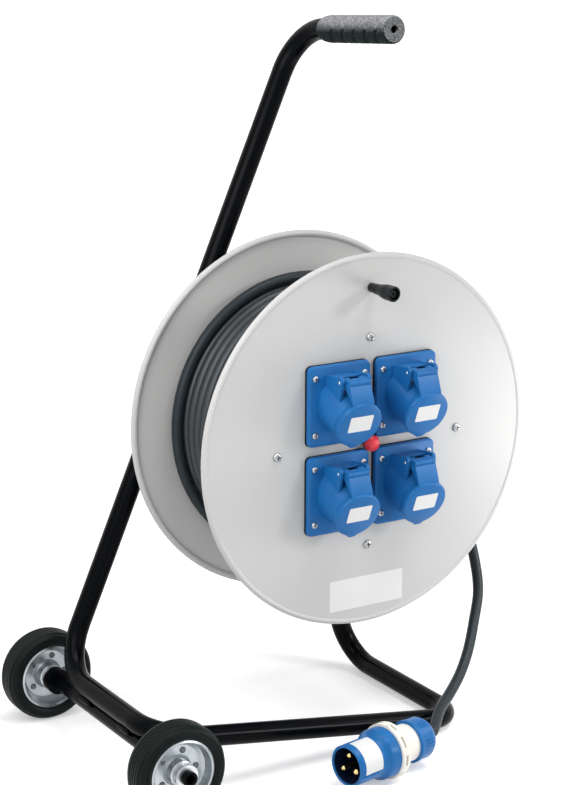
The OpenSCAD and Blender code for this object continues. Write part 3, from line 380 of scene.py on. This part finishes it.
# ---------------------------------------------------------------- drum
# Two pressed steel discs with rolled edges, powder-coated pale grey, screwed to a black moulded core
# that turns on the tube's end in two plain bushes.
flange_paint = shade("flange_paint", (0.522, 0.519, 0.511), 0.42, blotch=0.012, blotch_size=0.12,
                     grain=0.0016, bump=0.00002, rough_spread=0.05, specular=0.4)
core_plastic = shade("core_plastic", (0.016, 0.018, 0.020), 0.5, blotch=0.08, grain=0.0008, specular=0.25)
bush_plastic = shade("bush_plastic", (0.62, 0.60, 0.54), 0.5, blotch=0.04, grain=0.0008)
finish_nodes(flange_paint, "front_flange", "rear_flange")
finish_nodes(core_plastic, "drum_core", "cord_grommet", "cutout_body")
finish_nodes(bush_plastic, "hub_bushes", "terminal_block")
finish_nodes(zinc, "crank_nut", "terminal_screws")
label_film = shade("label_film", (0.70, 0.70, 0.69), 0.35, blotch=0.012, blotch_size=0.01, grain=0.0006,
                   bump=0.00001)
OUT = Vector((0, -1, 0))
FILM, FILM_CORNER, CORNER_STEPS = 0.00012, 0.0015, 6


def rounded(half_x, half_y, corner):
    """The outline of a rectangle with round corners."""
    line = []
    for cx, cy, start in ((1, 1, 0), (-1, 1, 90), (-1, -1, 180), (1, -1, 270)):
        for i in range(CORNER_STEPS + 1):
            a = math.radians(start + 90 * i / CORNER_STEPS)
            line.append((cx * (half_x - corner) + corner * math.cos(a),
                         cy * (half_y - corner) + corner * math.sin(a)))
    return line


def lofted(loops, origin, ex, ey, ez):
    """Faces between loops of equal length, each (outline, height), closed at both ends."""
    n = len(loops[0][0])
    points = [origin + ex * x + ey * y + ez * h for outline, h in loops for x, y in outline]
    faces = [tuple(range(n)), tuple((len(loops) - 1) * n + i for i in range(n))]
    for k in range(len(loops) - 1):
        for i in range(n):
            j = (i + 1) % n
            faces.append((k * n + i, k * n + j, (k + 1) * n + j, (k + 1) * n + i))
    return points, faces


def label(name, half_x, half_y, origin, ex, ey, ez):
    """A blank film label with round corners, stuck on."""
    outline = rounded(half_x, half_y, FILM_CORNER)
    return formed(name, *lofted([(outline, 0), (outline, FILM)], origin, ex, ey, ez), label_film, "drum",
                  "flange_paint", crease=30)


def pan_screw(seat, out, head_r, head_h, shank_r, length):
    """A pan-head screw with a cross recess, its head seated at seat."""
    half, reach = head_r * 0.17, head_r * 0.60
    corner = math.degrees(math.atan(half / reach))
    ways = [math.radians(quarter + part) for quarter in (0, 90, 180, 270)
            for part in (0, corner, (corner + 45) / 2, 45, (135 - corner) / 2, 90 - corner)]

    def ring(r):
        return [(r * math.cos(a), r * math.sin(a)) for a in ways]

    def cross(grow):
        line = []
        for a in ways:
            c, s = abs(math.cos(a)) + 1e-9, abs(math.sin(a)) + 1e-9
            r = grow * max(min(reach / c, half / s), min(half / c, reach / s))
            line.append((r * math.cos(a), r * math.sin(a)))
        return line

    across = Z if abs(out.z) < 0.5 else X
    return lofted([(ring(shank_r), -length), (ring(shank_r), 0), (ring(head_r), 0),
                   (ring(head_r), head_h * 0.35), (ring(head_r * 0.95), head_h * 0.62),
                   (ring(head_r * 0.80), head_h * 0.86), (ring(head_r * 0.66), head_h * 0.97),
                   (cross(1), head_h), (cross(0.8), head_h * 0.15)],
                  seat, across, out.cross(across), out)


SCREW_CIRCLE, DRUM_WIDTH, LABEL_Z = 0.1125, 0.155, -0.1647
screw_zinc = shade("screw_zinc", (0.42, 0.43, 0.44), 0.34, metal=1.0, blotch=0.12, blotch_size=0.003,
                   grain=0.0004)
flange_heads = []
for quarter in range(4):
    a = quarter * math.pi / 2
    for y, out in ((0, OUT), (DRUM_WIDTH, -OUT)):
        seat = DRUM + Vector((SCREW_CIRCLE * math.sin(a), y, SCREW_CIRCLE * math.cos(a)))
        flange_heads.append(pan_screw(seat, out, head_r=0.0046, head_h=0.0028, shank_r=0.0021, length=0.020))
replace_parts(formed("flange_screws_crossed", *joined(*flange_heads), screw_zinc, "drum", "zinc", crease=32),
            "flange_screws")
label("flange_label", 0.0465, 0.0172, DRUM + Vector((0, 0, LABEL_Z)), X, Z, OUT)

# ---------------------------------------------------------------- sockets
# Four industrial sockets with blue plates, each screwed over a black gasket. The barrel leans
# down from the plate, and two triangular cheeks at its top hold the lid's steel pin.
blue_plastic = shade("blue_plastic", (0.011, 0.129, 0.368), 0.34, blotch=0.06, blotch_size=0.02,
                     grain=0.0010, bump=0.00003, rough_spread=0.05, specular=0.2)
dark_blue = shade("dark_blue", (0.004, 0.008, 0.026), 0.5, blotch=0.06, grain=0.0008, specular=0.12)
seal_rubber = shade("seal_rubber", (0.006, 0.007, 0.008), 0.6, blotch=0.1, grain=0.0008, specular=0.15)
brass = shade("brass", (0.72, 0.52, 0.22), 0.25, metal=1.0, blotch=0.08, blotch_size=0.004, grain=0.0004)
spring_steel = shade("spring_steel", (0.42, 0.43, 0.45), 0.35, metal=1.0, blotch=0.08, grain=0.0004)
finish_nodes(dark_blue, "contact_inserts", "plug_pin_carrier")
finish_nodes(brass, "socket_contacts", "plug_pins")
finish_nodes(spring_steel, "lid_springs")
PLATE_X, PLATE_Z, PLATE_CORNER, FACE = 0.0375, 0.0425, 0.006, 0.0075
GASKET_EDGE, PLATE_SCREW = 0.0003, 0.030
TILT = math.radians(22)
MOUTH_UP = Vector((0, -math.sin(TILT), math.cos(TILT)))
MOUTH_OUT = Vector((0, -math.cos(TILT), -math.sin(TILT)))
MOUTH_Z = 0.001                              # the barrel's middle, up from the plate's centre
PIN_Y, PIN_Z = 0.033, 0.030                  # the lid's pin, out from the flange and up from the centre
PIN_R, PIN_HALF = 0.0017, 0.0185
BORE_R, BORE_FLOOR, KEYWAY_DEPTH, KEYWAY_DEGREES = 0.0227, 0.008, 0.0012, 7
SOCKET_X, SOCKET_Z = 0.0415, 0.048
SOCKETS = {name: DRUM + Vector((SOCKET_X * x, 0, SOCKET_Z * z)) for name, x, z in (
    ("upper_left", -1, 1), ("upper_right", 1, 1), ("lower_left", -1, -1), ("lower_right", 1, -1))}
MOUTHS = {name: centre + OUT * FACE + Z * MOUTH_Z for name, centre in SOCKETS.items()}
HINGES = {name: centre + OUT * PIN_Y + Z * PIN_Z for name, centre in SOCKETS.items()}


def keyway(a, r, h):
    """The barrel's bore has a groove at its lowest side for the plug's key."""
    in_bore = r <= BORE_R and h > BORE_FLOOR
    return r + KEYWAY_DEPTH if in_bore and abs(math.degrees(a) - 270) < KEYWAY_DEGREES else r


def bar(x0, x1, r, centre):
    """A round bar along X, with its ends chamfered."""
    edge = 0.0004
    return turned([(0, x0), (r - edge, x0), (r, x0 + edge), (r, x1 - edge), (r - edge, x1), (0, x1)], 32,
                  centre, OUT, X, closed=False)


plate_loops = [(rounded(PLATE_X - inset, PLATE_Z - inset, PLATE_CORNER - inset * 0.7), h) for inset, h in (
    (0.0003, 0.0021), (0, 0.0025), (0, 0.0056), (0.0003, 0.0065), (0.0009, 0.0071), (0.0018, FACE))]
gasket_outline = rounded(PLATE_X + GASKET_EDGE, PLATE_Z + GASKET_EDGE, PLATE_CORNER)
barrel_outline = [
    (0.0268, -0.014), (0.0266, 0.006), (0.0257, 0.018), (0.0247, 0.0300), (0.0246, 0.0318), (0.0250, 0.0324),
    (0.0250, 0.0348), (0.0246, 0.0352), (0.0231, 0.0352), (BORE_R, 0.0348), (BORE_R, 0.0082),
    (BORE_R, 0.0078), (BORE_R, -0.015), (0, -0.015)]
cup_outline = [(0, -0.001), (0.026, -0.001), (0.026, -0.0215), (0.0255, -0.022), (0, -0.022)]
# the cheeks and the bridge between them, each point out from the flange and up from the centre
cheek_outline = [(0.002, 0.0322)] + [
    (0.0334 + 0.0048 * math.sin(math.radians(a)), 0.0316 + 0.0048 * math.cos(math.radians(a)))
    for a in range(-8, 98, 15)] + [(0.0346, 0.0128), (0.0335, 0.009), (0.002, 0.009)]
bridge_outline = [(0.002, 0.0296), (0.002, 0.0318), (0.0262, 0.0342), (0.0262, 0.0320)]
CHEEK, BRIDGE_HALF = 0.004, 0.015
screws, pins, gaskets = [], [], []
for name, centre in SOCKETS.items():
    plate = lofted(plate_loops, centre, X, Z, OUT)
    barrel = turned(barrel_outline, 90, MOUTHS[name], X, MOUTH_OUT, keyway, closed=False)
    cup = turned(cup_outline, 64, centre + Z * 0.005, X, OUT, closed=False)
    body = formed("socket_body_%s_moulded" % name, *joined(plate, barrel, cup), blue_plastic, "drum",
                  "blue_plastic", crease=38)
    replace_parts(body, "socket_body_" + name)
    cheeks = [lofted([(cheek_outline, x), (cheek_outline, x + CHEEK)], centre, OUT, Z, X)
              for x in (-0.018, 0.014)]
    bridge = lofted([(bridge_outline, x) for x in (-BRIDGE_HALF, BRIDGE_HALF)], centre, OUT, Z, X)
    formed("hinge_cheeks_" + name, *joined(bridge, *cheeks), blue_plastic, "drum", "blue_plastic",
           bevel=0.0006)
    gaskets.append(lofted([(gasket_outline, h) for h in (0.0001, 0.0022)], centre, X, Z, OUT))
    screws += [pan_screw(centre + OUT * FACE + X * x + Z * z, OUT, head_r=0.0034, head_h=0.0020,
                         shank_r=0.0019, length=0.0125)
               for x in (-PLATE_SCREW, PLATE_SCREW) for z in (-PLATE_SCREW, PLATE_SCREW)]
    pins.append(bar(-PIN_HALF, PIN_HALF, PIN_R, HINGES[name]))
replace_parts(formed("plate_screws_crossed", *joined(*screws), screw_zinc, "drum", "zinc", crease=32),
            "plate_screws")
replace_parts(formed("gaskets_seen", *joined(*gaskets), seal_rubber, "drum", "seal_rubber", crease=30),
            "socket_gaskets")
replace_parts(formed("hinge_pins_proud", *joined(*pins), zinc, "drum", "zinc", crease=40), "hinge_pins")

# ---------------------------------------------------------------- lids
# Each socket's sprung lid is one blue moulding: a round cap with a rubber seal let into its back, a
# pointed lip to lift it by, and a broad flap up to two knuckles on the pin.
LID_TOP, FLAP_HALF = 0.0410, 0.013
KNUCKLE_R, KNUCKLE_FROM = 0.0042, 0.006
FLAP_END_UP, FLAP_END_OUT, FLAP_END_R = 0.0402, 0.0212, 0.0030
# the pin's place, up and out from the leaning mouth
PIN_UP = (PIN_Y - FACE) * math.sin(TILT) + (PIN_Z - MOUTH_Z) * math.cos(TILT)
PIN_OUT = (PIN_Y - FACE) * math.cos(TILT) - (PIN_Z - MOUTH_Z) * math.sin(TILT)
cap_outline = [
    (0, 0.0355), (0.0188, 0.0355), (0.0188, 0.0371), (0.0236, 0.0371), (0.0236, 0.0355), (0.0252, 0.0355),
    (0.0260, 0.0363), (0.0260, 0.0390), (0.0257, 0.0399), (0.0250, 0.0406), (0.0240, LID_TOP), (0, LID_TOP)]
lip_outline = [(-0.010, -0.023), (0.010, -0.023), (0.0092, -0.0248), (0.0032, -0.0292), (-0.0032, -0.0292),
               (-0.0092, -0.0248)]
flap_outline = [(0.018, 0.0358), (0.018, 0.0380), (0.0215, 0.0392), (0.0256, 0.0372), (0.0388, 0.0248),
                (0.0390, 0.0238)]
flap_outline += [(FLAP_END_UP + FLAP_END_R * math.cos(math.radians(a)),
                  FLAP_END_OUT + FLAP_END_R * math.sin(math.radians(a))) for a in range(95, -66, -20)]
flap_outline += [(PIN_UP + 0.0058, PIN_OUT + 0.0030), (PIN_UP + 0.0030, PIN_OUT + 0.0029),
                 (PIN_UP - 0.0034, PIN_OUT + 0.0045), (0.0258, 0.0340), (0.0252, 0.0358)]
for name, mouth in MOUTHS.items():
    cap = turned(cap_outline, 96, mouth, X, MOUTH_OUT, closed=False)
    lid = formed("lid_%s_cap" % name, *cap, blue_plastic, "lid_" + name, "blue_plastic", crease=38)
    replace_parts(lid, "lid_" + name)
    flap = lofted([(flap_outline, -FLAP_HALF), (flap_outline, FLAP_HALF)], mouth, MOUTH_UP, MOUTH_OUT, X)
    lip = lofted([(lip_outline, 0.0358), (lip_outline, 0.0388)], mouth, X, MOUTH_UP, MOUTH_OUT)
    formed("lid_%s_flap" % name, *joined(flap, lip), blue_plastic, "lid_" + name, "blue_plastic",
           bevel=0.0008)
    knuckles = [bar(x0, x1, KNUCKLE_R, HINGES[name])
                for x0, x1 in ((-FLAP_HALF, -KNUCKLE_FROM), (KNUCKLE_FROM, FLAP_HALF))]
    formed("lid_%s_knuckles" % name, *joined(*knuckles), blue_plastic, "lid_" + name, "blue_plastic",
           crease=40)
    film = label("lid_%s_label" % name, 0.0138, 0.0094, mouth + MOUTH_OUT * LID_TOP + MOUTH_UP * 0.0025, X,
                 MOUTH_UP, MOUTH_OUT)
    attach(film, "lid_" + name)
    finish_nodes(seal_rubber, "lid_seal_" + name)

# ---------------------------------------------------------------- button and crank knob
# The red cap resets the thermal cut-out behind the middle of the flange. The black knob near the
# rim turns freely on a dark bolt and is what winds the cord in.
red_plastic = shade("red_plastic", (0.82, 0.036, 0.055), 0.38, blotch=0.06, blotch_size=0.006,
                    grain=0.0007, bump=0.00003)
knob_plastic = shade("knob_plastic", (0.006, 0.008, 0.009), 0.34, blotch=0.1, blotch_size=0.01,
                     grain=0.0009, bump=0.00004, specular=0.2)
dark_bolt = shade("dark_bolt", (0.010, 0.013, 0.013), 0.45, specular=0.15)
finish_nodes(red_plastic, "reset_button")
finish_nodes(knob_plastic, "crank_knob")
finish_nodes(dark_bolt, "crank_bolt")

# ---------------------------------------------------------------- plug
# An industrial plug: blue nose with key and three brass pins, ivory housing with a slotted ring, and
# a blue gland nut that grips the cord.
ivory_plastic = shade("ivory_plastic", (0.80, 0.775, 0.70), 0.38, blotch=0.03, blotch_size=0.02,
                      grain=0.0008, bump=0.00003)
finish_nodes(seal_rubber, "plug_gland_seal")
KEY_WAY = Vector((0.18379, -0.88748, -0.42262))          # the key looks forward and 25 degrees down
KEY_R, RING_R = 0.0217, 0.0295
other_way = plug_along.cross(KEY_WAY)
nose_outline = [
    (0.016, 0.036), (0.019, 0.036), (0.019, 0.0008), (0.0195, 0), (0.0213, 0), (0.022, 0.0009),
    (0.022, 0.0295), (0.0221, 0.0335), (0.0230, 0.0362), (0.0250, 0.0392), (0.0264, 0.0404),
    (0.0270, 0.0420), (0.0270, 0.0538), (0.016, 0.054)]
nose = turned(nose_outline, 96, plug_nose, KEY_WAY, plug_along)
key = lofted([(rounded(0.0023, 0.0014, 0.0006), h) for h in (0.0002, 0.024)], plug_nose + KEY_WAY * KEY_R,
             other_way, KEY_WAY, plug_along)
shroud = formed("plug_shroud_moulded", *joined(nose, key), blue_plastic, "frame", "blue_plastic", crease=38)
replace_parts(shroud, "plug_shroud")
# a dark blue sleeve inside the nose is painted shade, darkening the inside where shade falls
painted_shade_liner = turned([(0.0186, 0.0014), (0.0191, 0.0014), (0.0191, 0.0358), (0.0186, 0.0358)], 64, plug_nose,
               KEY_WAY, plug_along)
formed("plug_nose_painted_shade", *painted_shade_liner, dark_blue, "frame", "blue_plastic", crease=38)
SLOTS, SLOT_DEPTH, SLOT_DEGREES, SLOT_FROM, SLOT_TO = 9, 0.005, 10.5, 0.0580, 0.0606


def slotted(a, r, h):
    """The housing's ring has nine slots round it."""
    off = (math.degrees(a) - 180 / SLOTS) % (360 / SLOTS)
    in_slot = min(off, 360 / SLOTS - off) < SLOT_DEGREES
    return r - SLOT_DEPTH if in_slot and SLOT_FROM <= h <= SLOT_TO else r


housing_outline = [
    (0.016, 0.054), (0.0285, 0.054), (0.0293, 0.0544), (RING_R, 0.0552), (RING_R, 0.0578),
    (RING_R, SLOT_FROM), (RING_R, SLOT_TO), (RING_R, 0.0608), (RING_R, 0.0640), (0.0290, 0.0652),
    (0.0265, 0.0672), (0.0215, 0.0683), (0.0204, 0.0692), (0.0200, 0.0710), (0.0200, 0.089), (0.015, 0.089),
    (0.015, 0.108), (0.0066, 0.108), (0.0066, 0.082), (0.016, 0.074)]
housing = formed("plug_housing_moulded",
                 *turned(housing_outline, 180, plug_nose, KEY_WAY, plug_along, slotted),
                 ivory_plastic, "frame", "ivory_plastic", crease=38)
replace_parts(housing, "plug_housing")
plug_front = Vector((math.sin(PLUG_TURN), -math.cos(PLUG_TURN), 0))
mark_way = (Z * 0.985 + plug_front * 0.17).normalized()
mark = lofted([([(-0.0032, -0.001), (0.0032, -0.001), (0, 0.0024)], h) for h in (0.0545, 0.0572)],
              plug_nose + mark_way * 0.0290, plug_along.cross(mark_way), mark_way, plug_along)
formed("plug_ring_mark", *mark, ivory_plastic, "frame", "ivory_plastic", crease=30)
RIBBED_R, RIBBED_FROM, RIB_GROOVE, RIB_SPACE, RIB_DEGREES = 0.0215, 0.0958, 0.0009, 9, 1.6


def ribbed(a, r, h):
    """Six groups of three grip grooves round the nut."""
    if r < RIBBED_R or h < RIBBED_FROM:
        return r
    at = math.degrees(a) % 60 - 30
    return r - RIB_GROOVE if min(abs(at), abs(at - RIB_SPACE), abs(at + RIB_SPACE)) < RIB_DEGREES else r


nut_outline = [
    (0.015, 0.089), (0.0219, 0.089), (0.0227, 0.0893), (0.023, 0.0900), (0.023, 0.0938), (0.0227, 0.0944),
    (0.0222, 0.0950), (0.0222, 0.0957), (0.0222, 0.0959), (0.0222, 0.1078), (0.0216, 0.1092),
    (0.0195, 0.1128), (0.0182, 0.1138), (0.0166, 0.114), (0.0074, 0.114), (0.0074, 0.108), (0.015, 0.108)]
nut = formed("plug_nut_ribbed", *turned(nut_outline, 180, plug_nose, KEY_WAY, plug_along, ribbed),
             blue_plastic, "frame", "blue_plastic", crease=38)
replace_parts(nut, "plug_gland_nut")
# a blank film label wrapped round the upper front of the nose
WRAP_STEPS, WRAP_START, WRAP_DEGREES = 24, -8, 112
wrap = []
for radius in (0.02202, 0.02215):
    for i in range(WRAP_STEPS + 1):
        a = math.radians(WRAP_START + WRAP_DEGREES * i / WRAP_STEPS)
        way = Z * math.cos(a) + plug_front * math.sin(a)
        wrap += [plug_nose + way * radius + plug_along * h for h in (0.0070, 0.0315)]
last = 2 * WRAP_STEPS
skin = last + 2
wrap_faces = []
for i in range(0, last, 2):
    wrap_faces += [(i, i + 2, i + 3, i + 1), (skin + i, skin + i + 1, skin + i + 3, skin + i + 2),
                   (i, skin + i, skin + i + 2, i + 2), (i + 1, i + 3, skin + i + 3, skin + i + 1)]
wrap_faces += [(0, 1, skin + 1, skin), (last, skin + last, skin + last + 1, last + 1)]
formed("plug_label", wrap, wrap_faces, label_film, "frame", "ivory_plastic", crease=40)

# ---------------------------------------------------------------- floor and light
# A plain white studio: a wide white floor that glows a little to the camera, a key light from the
# right front, broad soft lights from above, from the left and from behind, and three small lamps
# close to the reel, at its right edge, at its left and over the gap between the flanges.
FLOOR_HALF, FLOOR_GLOW = 40, 0.36
STUDIO_WHITE, STUDIO_STRENGTH = (0.97, 0.98, 1, 1), 0.31


def when_looked_at(tree):
    """Is 1 for what the camera sees, directly or in a reflection, and 0 for what lights the reel."""
    path = tree.nodes.new("ShaderNodeLightPath")
    seen = path.outputs["Is Camera Ray"]
    for ray in ("Is Glossy Ray", "Is Transmission Ray"):
        either = tree.nodes.new("ShaderNodeMath")
        either.operation = "MAXIMUM"
        tree.links.new(seen, either.inputs[0])
        tree.links.new(path.outputs[ray], either.inputs[1])
        seen = either.outputs[0]
    return seen


floor = bpy.data.objects.new("floor", bpy.data.meshes.new("floor"))
floor.data.from_pydata([(x * FLOOR_HALF, y * FLOOR_HALF, 0) for x, y in ((-1, -1), (1, -1), (1, 1), (-1, 1))],
                       [], [(0, 1, 2, 3)])
scene.collection.objects.link(floor)
floor_white = shade("floor_white", (0.90, 0.90, 0.90), 0.8, blotch=0.004, blotch_size=0.5, grain=0.01,
                    specular=0.2)
floor_tree = floor_white.node_tree
glow = floor_tree.nodes["Principled BSDF"]
glow.inputs["Emission Color"].default_value = (1, 1, 1, 1)
lift = floor_tree.nodes.new("ShaderNodeMath")
lift.operation = "MULTIPLY"
lift.inputs[1].default_value = FLOOR_GLOW
floor_tree.links.new(when_looked_at(floor_tree), lift.inputs[0])
floor_tree.links.new(lift.outputs[0], glow.inputs["Emission Strength"])
floor.data.materials.append(floor_white)


def lamp(name, kind, strength, way, place=(0, 0, 0)):
    """A light that shines along way."""
    light = bpy.data.objects.new(name, bpy.data.lights.new(name, kind))
    scene.collection.objects.link(light)
    light.location = place
    light.rotation_euler = Vector(way).to_track_quat("-Z", "Y").to_euler()
    light.data.energy = strength
    return light


for name, way, strength, spread in (
        ("key", (-0.9, 1, -0.5), 0.8, 12), ("above", (-0.2, 0.25, -1), 1.5, 30),
        ("left", (1, 0.5, -0.45), 0.25, 50), ("behind", (0.4, -1, -0.5), 0.45, 60)):
    lamp(name, "SUN", strength, way).data.angle = math.radians(spread)
for name, place, watts, size in (
        ("near_right", (0.40, -0.28, 0.29), 0.66, 0.2), ("near_left", (-0.60, -0.32, 0.72), 2.5, 0.5),
        ("gap", (-0.36, -0.065, 0.80), 0.75, 0.3)):
    small_lamp = lamp(name, "AREA", watts, DRUM - Vector(place), place)
    small_lamp.data.size = size
    small_lamp.visible_camera = False
world = bpy.data.worlds.new("studio")
scene.world = world
world.use_nodes = True
tree = world.node_tree
tree.nodes.clear()
soft = tree.nodes.new("ShaderNodeBackground")
soft.inputs["Color"].default_value = STUDIO_WHITE
soft.inputs["Strength"].default_value = STUDIO_STRENGTH
white = tree.nodes.new("ShaderNodeBackground")
white.inputs["Color"].default_value = (1, 1, 1, 1)
mix = tree.nodes.new("ShaderNodeMixShader")
tree.links.new(when_looked_at(tree), mix.inputs["Fac"])
tree.links.new(soft.outputs[0], mix.inputs[1])
tree.links.new(white.outputs[0], mix.inputs[2])
tree.links.new(mix.outputs[0], tree.nodes.new("ShaderNodeOutputWorld").inputs["Surface"])
